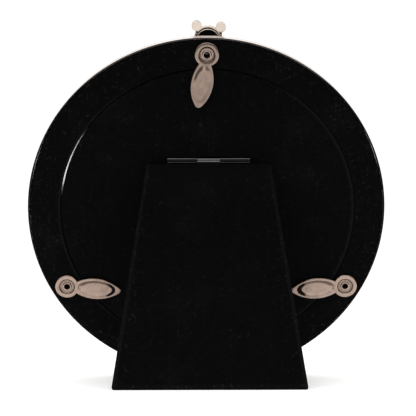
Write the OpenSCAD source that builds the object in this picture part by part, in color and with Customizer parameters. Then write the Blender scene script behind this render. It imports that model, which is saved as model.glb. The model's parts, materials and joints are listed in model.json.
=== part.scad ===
// Round photo frame with a velvet easel back, standing on its rim and its leg.
// Z is up, the picture faces -Y and the easel leg stands at +Y. Millimetres.

/* [Frame] */
// Outside diameter of the moulding
frame_d = 142; // [118:1:172]
// Angle that the frame leans back from upright
lean = 19.5; // [15:0.5:24]
// Width of the moulding from its outside to the sight edge
moulding_w = 17.2; // [15:0.2:20.8]

/* [Moulding] */
// Radius of the rounded outer shoulder
crown_r = 6.2; // [5.2:0.1:7.4]
// Height of the crest above the sight lip
crown_rise = 2.5; // [2:0.1:3]
// Wall of the hollow moulding
shell_t = 1.1; // [0.8:0.1:1.3]
// Thickness of the bare metal edge around the velvet
edge_t = 0.6; // [0.5:0.05:0.75]
// Rounding of that edge
edge_round = 0.25; // [0.1:0.05:0.25]
// Thickness of the sight lip
lip_t = 1; // [0.8:0.1:1.4]
// Width of the sight lip in front of the glass
lip_w = 3.2; // [2.6:0.1:3.8]
// Diameter of one bead of the sight border
bead_d = 2.6; // [2.1:0.1:2.8]
// Gap between two beads
bead_gap = 0.2; // [0.15:0.05:0.4]
// Height of the wire that carries the beads
bead_wire_h = 0.5; // [0.4:0.1:0.7]
// Width of that wire
bead_wire_w = 1.7; // [1.4:0.1:2]
// How far the beads sit outward of the middle of the lip
bead_shift = 0.1; // [0:0.05:0.2]
// Gap between the beads and the slope of the moulding
bead_clear = 0.35; // [0.25:0.05:0.5]

/* [Picture and boards] */
// Thickness of the glass
glass_t = 1.5; // [1.2:0.1:2]
// Thickness of the picture card
photo_t = 0.3; // [0.2:0.05:0.5]
// Thickness of the backing card
backing_t = 0.8; // [0.6:0.1:1.2]
// Thickness of the paper linings
lining_t = 0.2; // [0.15:0.05:0.3]
// Thickness of the ring board, the door board and the leg board
board_t = 2; // [1.6:0.1:2.6]
// Thickness of the velvet on a face
velvet_t = 0.5; // [0.4:0.1:0.7]
// Thickness of the velvet where it wraps an edge
wrap_t = 0.4; // [0.3:0.1:0.5]
// Gap between the glass or a card and the rebate around it
glass_gap = 0.4; // [0.2:0.1:0.7]
// Width of the shoulder that the ring board and the door rest on
shoulder_w = 1.7; // [1.4:0.1:2]
// Width of the flat on that shoulder, in front of the moulding's hollow
shoulder_flat = 1.36; // [1.1:0.02:1.4]
// Gap between the door and the ring, measured on the radius
door_gap = 0.55; // [0.45:0.05:0.8]
// Gap between the ring board and the moulding
ring_gap = 0.15; // [0.1:0.05:0.3]
// Sideways offset of the opening in the ring
opening_shift = -0.5; // [-0.7:0.1:0.7]
// Sideways offset of the door in that opening
door_shift = -0.15; // [-0.3:0.05:0.3]

/* [Turn buttons] */
// Length of a turn button from its pivot to its tip
leaf_len = 21.4; // [18:0.2:24]
// Width of the leaf
leaf_w = 9.2; // [7.8:0.2:11]
// Distance from the pivot to the widest place of the leaf
leaf_mid = 10.9; // [9.5:0.1:12]
// Diameter of the round head
head_d = 9.6; // [8:0.1:11]
// Height of a turn button
leaf_h = 1.1; // [0.95:0.05:1.4]
// Metal left under the dish and the dimple
leaf_floor = 0.45; // [0.35:0.05:0.5]
// Width of the raised rim around the dish
leaf_rim = 0.75; // [0.6:0.05:1]
// Metal between the head and the dish
neck_rim = 0.3; // [0.2:0.05:0.4]
// Metal between the dish and the tip
tip_rim = 2.5; // [2:0.1:3]
// Diameter of the dimple around the eyelet
dimple_d = 5.8; // [5.2:0.1:6.8]
// Outside diameter of the eyelet's barrel
eyelet_d = 3; // [2.6:0.1:3.6]
// Bore of the eyelet
eyelet_bore = 2.3; // [1.8:0.1:2.4]
// Diameter of the eyelet's rolled head
eyelet_head_d = 3.9; // [3.7:0.1:4.3]
// Thickness of the eyelet's rolled head and rolled end
eyelet_roll_t = 0.4; // [0.3:0.05:0.5]
// Diameter of the friction washer under that head
washer_d = 4.7; // [4.5:0.1:5]
// Thickness of the friction washer
washer_t = 0.2; // [0.15:0.05:0.25]
// Diameter of the washer in front of the ring board
back_washer_d = 6; // [5:0.1:7]
// Thickness of the washer in front of the ring board
back_washer_t = 0.3; // [0.25:0.05:0.4]
// Running clearance of every pin and barrel
run_gap = 0.05; // [0.03:0.01:0.08]
// Gap between a turn button and the velvet
leaf_gap = 0.1; // [0.05:0.05:0.3]
// Angle of the two lower pivots below the middle of the frame
low_pivot_angle = 29.5; // [25:0.5:35]
// Turn of the top button away from straight down
top_turn = 9.1; // [-30:0.1:30]
// Droop of the two lower buttons from level
low_turn = 5; // [-20:0.5:20]

/* [Hinge] */
// Height of the hinge above the middle of the frame
hinge_up = 21.5; // [18:0.5:25]
// Width of the hinge
hinge_w = 32.5; // [27:0.5:39]
// Height of each hinge leaf from the hinge's axis
hinge_leaf_h = 12; // [10:0.5:14.5]
// Thickness of the hinge leaves
hinge_t = 0.5; // [0.4:0.05:0.6]
// Diameter of the two outer knuckles
knuckle_d = 2.3; // [2.1:0.05:2.6]
// Diameter of the middle knuckle
mid_knuckle_d = 2; // [1.8:0.05:2.1]
// Width of the middle knuckle
mid_knuckle_w = 8.8; // [7:0.2:10.6]
// Gap between two knuckles
knuckle_gap = 0.15; // [0.1:0.05:0.3]
// Diameter of the hinge pin
pin_d = 1; // [0.8:0.05:1.1]
// Width of the moving leaf inside the leg
moving_leaf_w = 26; // [22:1:31]
// Diameter of the rivets' shanks
rivet_d = 1.6; // [1.3:0.1:2]
// Diameter of the rivets' heads
rivet_head_d = 3; // [2.6:0.1:3.6]
// Thickness of the rivets' heads
rivet_head_t = 0.25; // [0.2:0.05:0.3]
// Distance between two rivets
rivet_pitch = 10; // [8:0.5:11]
// Distance from the hinge's axis to the row of rivets
rivet_rise = 7.2; // [6:0.2:8.4]
// Gap between the hinge and the sides of its slot in the door
slot_gap = 0.2; // [0.15:0.05:0.3]
// Gap between the hinge and the ends of that slot
slot_end_gap = 0.3; // [0.2:0.05:0.4]
// How far below the top of the leg the wide part of the moving leaf starts
moving_leaf_drop = 2; // [1.6:0.1:2.5]
// Sideways offset of the hinge and the leg
back_shift = -0.8; // [-1.5:0.1:1.5]

/* [Leg] */
// Width of the leg at its top
leg_top_w = 49; // [41:0.5:59]
// Angle between the leg and the back when the leg is open
open_angle = 37.9; // [32:0.1:45]
// Gap between the folded leg and the back
leg_gap = 0.3; // [0.2:0.05:0.5]
// Gap between the hinge's axis and the top of the leg
leg_top_gap = 1.7; // [1.6:0.1:2.2]
// How much lower the outer face of the leg starts than its inner face
leg_bevel = 1.7; // [1:0.1:2.5]
// Gap between the leg's edge and the nearest sweep of a turn button
leaf_clear = 2; // [1.4:0.1:2.6]
// Rounding of the leg's upper corners
leg_corner_r = 1.5; // [1:0.1:3]

/* [Finial] */
// Diameter of the jewel's cup
cup_d = 9; // [7.5:0.1:10.8]
// Depth of the jewel's cup
cup_depth = 4.8; // [4:0.1:5.8]
// Wall of the jewel's cup
cup_t = 0.4; // [0.3:0.05:0.6]
// Depth of the hollow in the back of the jewel's cup
cup_hollow = 2.2; // [1.8:0.1:2.6]
// Thickness of the ledge that the jewel sits on
ledge_t = 0.6; // [0.4:0.1:0.8]
// Radius of the hole in that ledge
ledge_hole_r = 2.7; // [2.2:0.1:3]
// How far the front of the cup stands in front of the moulding's crest
cup_proud = 1; // [0.8:0.1:1.3]
// Height of the jewel's faceted top
jewel_top_h = 1.5; // [1.2:0.1:1.8]
// How far the widest place of the jewel lies inside its cup
girdle_sink = 0.5; // [0.3:0.1:0.6]
// How far the cup stands out past the moulding
cup_overhang = 2.2; // [1.6:0.1:2.6]
// Diameter of the two side cups
side_cup_d = 3.9; // [3.2:0.1:4.4]
// Depth of the two side cups
side_cup_depth = 2.6; // [2:0.1:3.2]
// Gap between the jewel's cup and a side cup
side_cup_gap = 0.56; // [0.4:0.02:0.8]
// Angle of the side cups away from straight above the jewel's cup
side_cup_angle = 42.1; // [36:0.1:48]
// How far in front of the jewel's cup's back the side cups start
side_cup_step = 0.2; // [0.1:0.05:0.3]
// Wall of the side cups around their stones
stone_wall = 0.3; // [0.2:0.05:0.4]
// Depth of the stones' seats
stone_sink = 0.8; // [0.6:0.1:1]
// Height of the stones above the side cups
stone_top_h = 0.6; // [0.4:0.1:0.8]
// Diameter of the posts under the side cups
post_d = 0.9; // [0.7:0.1:1.2]
// Sideways offset of the finial
finial_shift = -0.45; // [-1:0.05:1]
// Tilt of the two side cups together around the jewel's cup
finial_tilt = 3.4; // [0:0.1:6]

/* [Hidden] */
$fn = 96;
silver = [0.86, 0.84, 0.82];
nickel = [0.74, 0.67, 0.63];
dark_steel = [0.42, 0.42, 0.42];
velvet = [0.05, 0.05, 0.05];
fibre = [0.36, 0.25, 0.17];
// Length by which a cutter passes the face that it cuts
over = 1;
// Narrow ends of the jewel and of the stones, as shares of their width
jewel_foot = 0.75;
jewel_table = 0.6;
// Length that reaches past the floor from anywhere on the leg
long = 3 * frame_d;

// Radii, from the outside of the frame inwards
frame_r = frame_d / 2;
board_r = frame_r - edge_t - ring_gap;
crest_r = frame_r - crown_r;
sight_r = frame_r - moulding_w;
rebate_r = sight_r + lip_w;
opening_r = rebate_r + shoulder_w;
door_r = opening_r - door_gap;
glass_r = rebate_r - glass_gap;
pivot_r = (opening_r + board_r) / 2;
support_r = rebate_r + shoulder_flat;
door_x = opening_shift + door_shift;

// Depths, from the face of the velvet towards the picture's side
door_front = velvet_t + board_t;
lining_front = door_front + lining_t;
backing_front = lining_front + backing_t;
photo_front = backing_front + photo_t;
glass_front = photo_front + glass_t;
lip_front = glass_front + lip_t;
crest_z = lip_front + crown_rise;
side_h = crest_z - crown_r;
bead_circle_r = sight_r + lip_w / 2 + bead_shift;
seat_r = bead_circle_r + bead_d / 2 + bead_clear;
slope_r = (pow(crest_r - seat_r, 2) + pow(crown_rise, 2)) / (2 * crown_rise);
bead_count = floor(360 / (2 * asin((bead_d + bead_gap) / 2 / bead_circle_r)));

// Turn buttons: the sides of the leaf are arcs that meet in the tip
leaf_arc_r = (pow(leaf_len - leaf_mid, 2) + pow(leaf_w / 2, 2)) / leaf_w;
leaf_pocket = leaf_h - leaf_floor;
barrel_hole_d = eyelet_d + 2 * run_gap;
dimple_z = leaf_gap + leaf_floor;
washer_z = dimple_z + run_gap;
eyelet_head_z = washer_z + washer_t;
barrel_end = door_front + back_washer_t;
pivot_angles = [90, -low_pivot_angle, 180 + low_pivot_angle];
leaf_angles = [top_turn - 90, 180 + low_turn, -low_turn];

// Hinge: its axis lies just behind the face of the velvet
knuckle_r = knuckle_d / 2;
mid_knuckle_r = mid_knuckle_d / 2;
moving_leaf_z = leg_gap + lining_t;
axis_back = moving_leaf_z + hinge_t - mid_knuckle_r;
fixed_leaf_z = knuckle_r - axis_back - hinge_t;
fixed_leaf_end = fixed_leaf_z + hinge_t;
hinge_slot_h = knuckle_d + 2 * slot_gap;
hinge_slot_w = hinge_w + 2 * slot_end_gap;
leg_face_z = moving_leaf_z + board_t;
leg_back_z = leg_face_z + velvet_t;

// Leg: its edges clear the circle that a lower turn button's tip can sweep
leg_top_y = hinge_up - leg_top_gap;
leg_corner_x = leg_top_w / 2 + abs(back_shift);
to_pivot = [pivot_r * cos(low_pivot_angle) - leg_corner_x, leg_top_y + pivot_r * sin(low_pivot_angle)];
leg_flare = atan2(to_pivot[0], to_pivot[1]) - asin((leaf_len + leaf_clear) / norm(to_pivot));
leg_slant = open_angle - lean;
bevel_angle = atan(leg_bevel / (leg_back_z - leg_gap));

// Stance: the lowest place of the rim and the middle of the outline lie at the origin
rim_low = edge_round * (cos(lean) + sin(lean) - 1);
axis_y = (frame_r + hinge_up) * sin(lean) + axis_back * cos(lean);
axis_z = (frame_r + hinge_up) * cos(lean) - axis_back * sin(lean) - rim_low;
front_y = (frame_r - crest_r) * sin(lean) - side_h * cos(lean) - crown_r;
foot_y = axis_y + axis_z * tan(leg_slant) + (leg_back_z - axis_back) / cos(leg_slant);
middle_y = (front_y + foot_y) / 2;

// Finial
cup_r = cup_d / 2;
cup_y = frame_r + cup_overhang - cup_r;
cup_front = crest_z + cup_proud;
cup_back = cup_front - cup_depth;
ledge_z = cup_back + cup_hollow;
jewel_seat_z = ledge_z + ledge_t;
side_cup_reach = cup_r + side_cup_gap + side_cup_d / 2;
side_cup_back = cup_back + side_cup_step;
stone_seat_z = side_cup_back + side_cup_depth - stone_sink;
stone_d = side_cup_d - 2 * stone_wall;

function unit(v) = v / norm(v);
function angle_between(a, b) = acos(unit(a) * unit(b));
function pivot(i) = [pivot_r * cos(pivot_angles[i]), pivot_r * sin(pivot_angles[i])];

// Stands the flat frame up: drawn with its velvet face on z = 0 and its picture towards +z
module standing() {
    translate([0, -middle_y, -rim_low]) rotate([-lean, 0, 0])
        translate([0, 0, frame_r]) rotate([90, 0, 0]) children();
}

// Swings what is drawn folded against the back out to the open leg
module opened() {
    translate([back_shift, hinge_up, -axis_back]) rotate([open_angle, 0, 0])
        translate([0, -hinge_up, axis_back]) children();
}

module below(height) {
    translate([-long / 2, -long / 2, height - long]) cube([long, long, long]);
}

// A convex outline, its points in clockwise order, with corners rounded to radius r
module rounded(points, r) {
    count = len(points);
    steps = 8;
    polygon([for (i = [0:count - 1]) let (
        a = unit(points[(i + count - 1) % count] - points[i]),
        b = unit(points[(i + 1) % count] - points[i]),
        middle = points[i] + (a + b) * r / sin(angle_between(a, b)),
        start = atan2(-a[0], a[1]),
        sweep = 180 - angle_between(a, b)
    ) for (k = [0:steps]) middle + r * [cos(start - sweep * k / steps), sin(start - sweep * k / steps)]]);
}

module disc(r, z, t, x = 0) {
    translate([x, 0, z]) cylinder(r = r, h = t);
}

module round_block(r_in, r_out, low, high) {
    translate([r_in, low]) square([r_out - r_in, high - low]);
}

// Section of the moulding without its hollows
module moulding_section() {
    intersection() {
        translate([crest_r, side_h]) circle(crown_r);
        round_block(crest_r, frame_r + over, side_h, crest_z + over);
    }
    intersection() {
        translate([crest_r, crest_z - slope_r]) circle(slope_r);
        round_block(seat_r, crest_r, edge_round, crest_z + over);
    }
    round_block(sight_r, seat_r, edge_round, lip_front);
    round_block(crest_r, frame_r, edge_round, side_h);
    round_block(crest_r, frame_r - edge_round, 0, edge_round);
    translate([frame_r - edge_round, edge_round]) circle(edge_round);
}

// The hollow between the ring board and the front of the moulding
module moulding_hollow() {
    wall_r = frame_r - shell_t;
    intersection() {
        translate([crest_r, side_h]) circle(crown_r - shell_t);
        round_block(crest_r, wall_r, side_h, crest_z);
    }
    intersection() {
        translate([crest_r, crest_z - slope_r]) circle(slope_r - shell_t);
        round_block(support_r, crest_r, door_front - over, crest_z);
    }
    round_block(crest_r, wall_r, 0, max(side_h, door_front));
}

module rim() {
    color(silver) standing() rotate_extrude() difference() {
        moulding_section();
        round_block(sight_r - over, frame_r - edge_t, -over, door_front);
        round_block(sight_r - over, rebate_r, -over, glass_front);
        moulding_hollow();
    }
}

// The moulding as a plain solid, which the finial's feet are fitted to
module moulding_solid() {
    rotate_extrude() moulding_section();
}

module bead_border() {
    color(silver) standing() {
        rotate_extrude() round_block(
            bead_circle_r - bead_wire_w / 2, bead_circle_r + bead_wire_w / 2,
            lip_front, lip_front + bead_wire_h);
        for (i = [0:bead_count - 1]) rotate(i * 360 / bead_count)
            translate([bead_circle_r, 0, lip_front + bead_d / 2]) sphere(d = bead_d, $fn = 24);
    }
}

module glass() {
    color([0.8, 0.9, 0.9, 0.4]) standing() disc(glass_r, photo_front, glass_t);
}

module photo_card() {
    color("white") standing() disc(glass_r, backing_front, photo_t);
}

module backing_card() {
    color([0.7, 0.66, 0.58]) standing() disc(glass_r, lining_front, backing_t);
}

module barrel_holes() {
    for (i = [0:2]) translate(pivot(i)) translate([0, 0, -over])
        cylinder(d = barrel_hole_d, h = door_front + 2 * over);
}

module ring_board() {
    color(fibre) standing() difference() {
        disc(board_r, velvet_t, board_t);
        disc(opening_r + wrap_t, velvet_t - over, board_t + 2 * over, opening_shift);
        barrel_holes();
    }
}

module ring_velvet() {
    color(velvet) standing() difference() {
        union() {
            disc(board_r, 0, velvet_t);
            disc(opening_r + wrap_t, 0, door_front, opening_shift);
        }
        disc(opening_r, -over, door_front + 2 * over, opening_shift);
        barrel_holes();
    }
}

// Space of the hinge's knuckles in the door
module hinge_slot(depth) {
    translate([back_shift - hinge_slot_w / 2, hinge_up - hinge_slot_h / 2, -over])
        cube([hinge_slot_w, hinge_slot_h, depth + over]);
}

module rivet_places() {
    for (x = [-rivet_pitch, 0, rivet_pitch]) translate([back_shift + x, 0, 0]) children();
}

module door_board() {
    color(fibre) standing() difference() {
        disc(door_r - wrap_t, velvet_t, board_t, door_x);
        hinge_slot(fixed_leaf_end);
        translate([back_shift - hinge_slot_w / 2, hinge_up, velvet_t - over])
            cube([hinge_slot_w, hinge_leaf_h + slot_end_gap, fixed_leaf_end - velvet_t + over]);
        rivet_places() translate([0, hinge_up + rivet_rise, 0]) {
            cylinder(d = rivet_d, h = door_front + over);
            translate([0, 0, door_front - rivet_head_t]) cylinder(d = rivet_head_d, h = over);
        }
    }
}

module door_velvet() {
    color(velvet) standing() difference() {
        disc(door_r, 0, door_front, door_x);
        disc(door_r - wrap_t, velvet_t, board_t + over, door_x);
        hinge_slot(velvet_t + over / 2);
    }
}

module door_lining() {
    color("dimgray") standing() disc(glass_r, door_front, lining_t);
}

// One turn button with its pivot on the z axis and its leaf along +x, its show face down
module turn_button() {
    arc_y = leaf_arc_r - leaf_w / 2;
    difference() {
        union() {
            cylinder(d = head_d, h = leaf_h);
            linear_extrude(leaf_h) intersection() {
                translate([leaf_mid, arc_y]) circle(leaf_arc_r);
                translate([leaf_mid, -arc_y]) circle(leaf_arc_r);
                translate([0, -leaf_w]) square([leaf_len + over, 2 * leaf_w]);
            }
        }
        translate([0, 0, -over]) cylinder(d = dimple_d, h = leaf_pocket + over);
        cylinder(d = barrel_hole_d, h = leaf_h + over);
        leaf_dish(arc_y);
    }
}

// The dish is deepest at the tip and runs out at the neck
module leaf_dish(arc_y) {
    dish_start = head_d / 2 + neck_rim;
    dish_end = leaf_len - tip_rim;
    slope = atan(leaf_pocket / (dish_end - dish_start));
    translate([dish_start, 0, 0]) rotate([0, -slope, 0]) translate([-dish_start, 0, -2 * over])
        linear_extrude(2 * over) intersection() {
            translate([leaf_mid, arc_y]) circle(leaf_arc_r - leaf_rim);
            translate([leaf_mid, -arc_y]) circle(leaf_arc_r - leaf_rim);
            translate([leaf_mid, 0]) circle(dish_end - leaf_mid);
            translate([dish_start, -leaf_w]) square([leaf_len, 2 * leaf_w]);
        }
}

module placed_turn_button(i) {
    color(nickel) standing() translate(pivot(i)) translate([0, 0, -leaf_gap - leaf_h])
        rotate(leaf_angles[i]) turn_button();
}

module eyelet(i) {
    head_low = -eyelet_head_z - eyelet_roll_t;
    color(nickel) standing() translate(pivot(i)) difference() {
        union() {
            translate([0, 0, head_low]) cylinder(d = eyelet_head_d, h = eyelet_roll_t);
            translate([0, 0, head_low]) cylinder(d = eyelet_d, h = barrel_end - head_low);
            translate([0, 0, barrel_end]) cylinder(d = eyelet_head_d, h = eyelet_roll_t);
        }
        translate([0, 0, head_low - over])
            cylinder(d = eyelet_bore, h = barrel_end - head_low + eyelet_roll_t + 2 * over);
    }
}

module washer(d, t) {
    difference() {
        cylinder(d = d, h = t);
        translate([0, 0, -over]) cylinder(d = eyelet_d, h = t + 2 * over);
    }
}

module friction_washers() {
    color(nickel) standing() for (i = [0:2]) translate(pivot(i))
        translate([0, 0, -eyelet_head_z]) washer(washer_d, washer_t);
}

module ring_washers() {
    color(nickel) standing() for (i = [0:2]) translate(pivot(i))
        translate([0, 0, door_front]) washer(back_washer_d, back_washer_t);
}

module along_axis(from, to) {
    translate([from, hinge_up, -axis_back]) rotate([0, 90, 0]) linear_extrude(to - from) children();
}

module outer_knuckles() {
    half = mid_knuckle_w / 2 + knuckle_gap;
    along_axis(back_shift - hinge_w / 2, back_shift - half) children();
    along_axis(back_shift + half, back_shift + hinge_w / 2) children();
}

module hinge_fixed_leaf() {
    half = mid_knuckle_w / 2 + knuckle_gap;
    color(dark_steel) standing() difference() {
        union() {
            outer_knuckles() circle(knuckle_r);
            translate([back_shift - hinge_w / 2, hinge_up, fixed_leaf_z])
                cube([hinge_w, hinge_leaf_h, hinge_t]);
        }
        outer_knuckles() circle(d = pin_d);
        translate([back_shift - half, hinge_up - knuckle_d, -over - knuckle_d])
            cube([2 * half, 2 * knuckle_d, 4 * knuckle_d]);
        rivet_places() translate([0, hinge_up + rivet_rise, 0]) cylinder(d = rivet_d, h = door_front);
    }
}

module hinge_pin() {
    color(dark_steel) standing()
        along_axis(back_shift - hinge_w / 2, back_shift + hinge_w / 2) circle(d = pin_d);
}

module door_rivets() {
    color(nickel) standing() rivet_places() translate([0, hinge_up + rivet_rise, 0]) {
        translate([0, 0, fixed_leaf_z]) cylinder(d = rivet_d, h = door_front - fixed_leaf_z);
        translate([0, 0, velvet_t]) cylinder(d = rivet_head_d, h = fixed_leaf_z - velvet_t);
        translate([0, 0, door_front - rivet_head_t]) cylinder(d = rivet_head_d, h = rivet_head_t);
    }
}

// Outline of the folded leg, drawn around its own middle line and inset by wrap
module leg_outline(wrap) {
    bottom_y = leg_top_y - long / 2;
    half_top = leg_top_w / 2 - wrap;
    half_bottom = leg_top_w / 2 + (leg_top_y - bottom_y) * tan(leg_flare) - wrap;
    top_y = leg_top_y - wrap;
    rounded([[-half_top, top_y], [half_top, top_y], [half_bottom, bottom_y], [-half_bottom, bottom_y]],
        leg_corner_r);
}

// A layer of the leg between two distances from the back, ending at a height over the floor
module leg_layer(near, far, wrap, height) {
    difference() {
        standing() opened() difference() {
            translate([0, 0, -far]) linear_extrude(far - near) leg_outline(wrap);
            translate([0, leg_top_y, -leg_gap]) rotate([-bevel_angle, 0, 0])
                translate([-long / 2, -wrap, -long / 2]) cube([long, long, long]);
        }
        below(height);
    }
}

// The moving leaf without its knuckle: a neck over the top of the leg and a wide part inside it
module moving_leaf_shape() {
    wide_top = leg_top_y - moving_leaf_drop;
    wide_end = hinge_up - hinge_leaf_h - moving_leaf_drop;
    translate([-mid_knuckle_w / 2, wide_top - over, -moving_leaf_z - hinge_t])
        cube([mid_knuckle_w, hinge_up - wide_top + over, hinge_t]);
    translate([-moving_leaf_w / 2, wide_end, -moving_leaf_z - hinge_t])
        cube([moving_leaf_w, wide_top - wide_end, hinge_t]);
}

module leg_rivet_places() {
    for (x = [-rivet_pitch, 0, rivet_pitch])
        translate([x, hinge_up - rivet_rise - moving_leaf_drop, 0]) children();
}

module hinge_moving_leaf() {
    color(dark_steel) standing() opened() difference() {
        union() {
            translate([-mid_knuckle_w / 2, hinge_up, -axis_back]) rotate([0, 90, 0])
                cylinder(r = mid_knuckle_r, h = mid_knuckle_w);
            moving_leaf_shape();
        }
        translate([-mid_knuckle_w, hinge_up, -axis_back]) rotate([0, 90, 0])
            cylinder(d = pin_d + 2 * run_gap, h = 2 * mid_knuckle_w);
        leg_rivet_places() translate([0, 0, -leg_face_z]) cylinder(d = rivet_d, h = leg_face_z);
    }
}

module leg_rivets() {
    color(nickel) standing() opened() leg_rivet_places() {
        translate([0, 0, -leg_face_z]) cylinder(d = rivet_d, h = leg_face_z - moving_leaf_z);
        translate([0, 0, -leg_face_z]) cylinder(d = rivet_head_d, h = rivet_head_t);
    }
}

module leg_board() {
    color(fibre) difference() {
        leg_layer(moving_leaf_z, leg_face_z, wrap_t, velvet_t);
        standing() opened() {
            moving_leaf_shape();
            leg_rivet_places() translate([0, 0, -leg_face_z]) {
                cylinder(d = rivet_d, h = board_t + over);
                translate([0, 0, -over]) cylinder(d = rivet_head_d, h = rivet_head_t + over);
            }
        }
    }
}

module leg_lining() {
    color("dimgray") leg_layer(leg_gap, moving_leaf_z, wrap_t, velvet_t);
}

module leg_velvet() {
    color(velvet) difference() {
        leg_layer(leg_gap, leg_back_z, 0, 0);
        leg_layer(leg_gap - over, leg_face_z, wrap_t, velvet_t);
        standing() opened() moving_leaf_shape();
    }
}

module on_finial() {
    translate([finial_shift, cup_y, 0]) children();
}

// Side is 1 for the side cup at +x and -1 for the one at -x
module at_side_cup(side) {
    turn = finial_tilt - side * side_cup_angle;
    on_finial() rotate(turn) translate([0, side_cup_reach, 0]) rotate(-turn) children();
}

module jewel_cup() {
    inner_r = cup_r - cup_t;
    color(silver) standing() difference() {
        on_finial() difference() {
            translate([0, 0, cup_back]) cylinder(r = cup_r, h = cup_depth);
            translate([0, 0, cup_back - over]) cylinder(r = inner_r, h = ledge_z - cup_back + over);
            translate([0, 0, cup_back]) cylinder(r = ledge_hole_r, h = cup_depth);
            translate([0, 0, jewel_seat_z]) cylinder(r = inner_r, h = cup_depth);
        }
        moulding_solid();
    }
}

module jewel() {
    r = cup_r - cup_t;
    girdle_z = cup_front - girdle_sink;
    color([0.75, 0.8, 0.85]) standing() on_finial() difference() {
        union() {
            translate([0, 0, jewel_seat_z])
                cylinder(r1 = r * jewel_foot, r2 = r, h = girdle_z - jewel_seat_z);
            translate([0, 0, girdle_z]) cylinder(r1 = r, r2 = r * jewel_table, h = jewel_top_h);
        }
        translate([-finial_shift, -cup_y, 0]) moulding_solid();
    }
}

// A side cup and the post that carries it from the shoulder of the moulding, past the jewel's cup
module side_cup(side) {
    color(silver) standing() difference() {
        at_side_cup(side) difference() {
            translate([0, 0, side_cup_back]) {
                cylinder(d = side_cup_d, h = side_cup_depth);
                translate([0, 0, post_d / 2]) rotate([90, 0, 0])
                    cylinder(d = post_d, h = side_cup_reach + cup_overhang);
            }
            translate([0, 0, stone_seat_z]) cylinder(d = stone_d, h = side_cup_depth);
        }
        on_finial() translate([0, 0, cup_back]) cylinder(r = cup_r, h = cup_depth);
        moulding_solid();
    }
}

module side_stone(side) {
    color([0.85, 0.88, 0.9]) standing() at_side_cup(side) {
        translate([0, 0, stone_seat_z]) cylinder(d = stone_d, h = stone_sink);
        translate([0, 0, stone_seat_z + stone_sink])
            cylinder(d1 = stone_d, d2 = stone_d * jewel_table, h = stone_top_h);
    }
}

rim();
bead_border();
glass();
photo_card();
backing_card();
ring_board();
ring_velvet();
door_board();
door_velvet();
door_lining();
placed_turn_button(0);  // turn_button_top
placed_turn_button(1);  // turn_button_left
placed_turn_button(2);  // turn_button_right
eyelet(0);  // eyelet_top
eyelet(1);  // eyelet_left
eyelet(2);  // eyelet_right
friction_washers();
ring_washers();
hinge_fixed_leaf();
hinge_moving_leaf();
hinge_pin();
door_rivets();
leg_rivets();
leg_board();
leg_velvet();
leg_lining();
jewel_cup();
jewel();
side_cup(1);  // side_cup_left
side_cup(-1);  // side_cup_right
side_stone(1);  // side_stone_left
side_stone(-1);  // side_stone_right
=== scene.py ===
# The looks of a round photo frame seen from its velvet back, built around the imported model
import json
import math

import bmesh
import bpy
from mathutils import Matrix, Vector


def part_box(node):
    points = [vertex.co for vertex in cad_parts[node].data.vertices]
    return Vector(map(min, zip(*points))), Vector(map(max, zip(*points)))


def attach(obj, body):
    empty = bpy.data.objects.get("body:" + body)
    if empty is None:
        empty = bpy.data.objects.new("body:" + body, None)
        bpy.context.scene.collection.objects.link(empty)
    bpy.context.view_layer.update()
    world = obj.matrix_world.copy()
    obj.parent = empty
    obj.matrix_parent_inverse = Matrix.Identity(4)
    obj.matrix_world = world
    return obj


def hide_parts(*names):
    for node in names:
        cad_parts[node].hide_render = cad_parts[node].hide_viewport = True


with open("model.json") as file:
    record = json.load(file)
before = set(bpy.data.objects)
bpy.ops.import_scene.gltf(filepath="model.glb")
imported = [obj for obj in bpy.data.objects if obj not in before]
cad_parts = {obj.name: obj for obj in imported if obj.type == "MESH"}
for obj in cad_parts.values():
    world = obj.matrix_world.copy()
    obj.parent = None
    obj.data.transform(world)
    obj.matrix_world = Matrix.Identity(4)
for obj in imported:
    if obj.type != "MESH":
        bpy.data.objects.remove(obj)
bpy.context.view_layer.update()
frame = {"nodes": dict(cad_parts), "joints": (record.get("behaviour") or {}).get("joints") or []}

scene = bpy.context.scene
joints = {joint["name"]: joint for joint in frame["joints"]}
metresPerMm = 0.001


# Places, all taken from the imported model. Pieces are drawn in millimetres on the flat frame,
# velvet face at z = 0 and picture towards +z, and this matrix stands them up.
def flatToWorld():
    backward = Vector(joints["turn_top"]["axis"])
    sideways = Vector((1, 0, 0))
    upward = sideways.cross(backward)
    top, lower = (Vector(joints[name]["pos_m"]) for name in ("turn_top", "turn_left"))
    pivotRadius = (lower - top).length_squared / (2 * (top - lower).dot(upward))
    middle = top - upward * pivotRadius
    face = max(vertex.co.dot(backward) for vertex in frame["nodes"]["door_velvet"].data.vertices)
    middle += backward * (face - middle.dot(backward))
    turn = Matrix((sideways, upward, -backward)).transposed().to_4x4()
    return Matrix.Translation(middle) @ turn @ Matrix.Scale(metresPerMm, 4)


flat = flatToWorld()
worldToFlat = flat.inverted()


def flatBox(node, place=worldToFlat):  # lowest and highest corner of a node, on the flat frame
    corners = [place @ vertex.co for vertex in frame["nodes"][node].data.vertices]
    low = Vector([min(corner[i] for corner in corners) for i in range(3)])
    high = Vector([max(corner[i] for corner in corners) for i in range(3)])
    return low, high


def pivotOf(joint):
    place = worldToFlat @ Vector(joints[joint]["pos_m"])
    return Vector((place.x, place.y, 0))


# The leg is drawn hanging from its hinge's axis and swung out to where it stands
legFold = joints["leg_fold"]
legHinge = worldToFlat @ Vector(legFold["pos_m"])
legSwing = Matrix.Rotation(math.radians(legFold["range_deg"][1]), 4, "X")
openLeg = flat @ Matrix.Translation(legHinge) @ legSwing
worldToLeg = openLeg.inverted()

# Camera
view = {
    "azimuth": 0.782,  # degrees round from straight behind
    "elevation": 0.058,
    "distance": 0.677,
    "aim": (-0.000576, 0, 0.068293),
    "roll": -0.076,
    "lens": 148.1,
    "sensor": 36,
    "nearest": 0.01,
}


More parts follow.
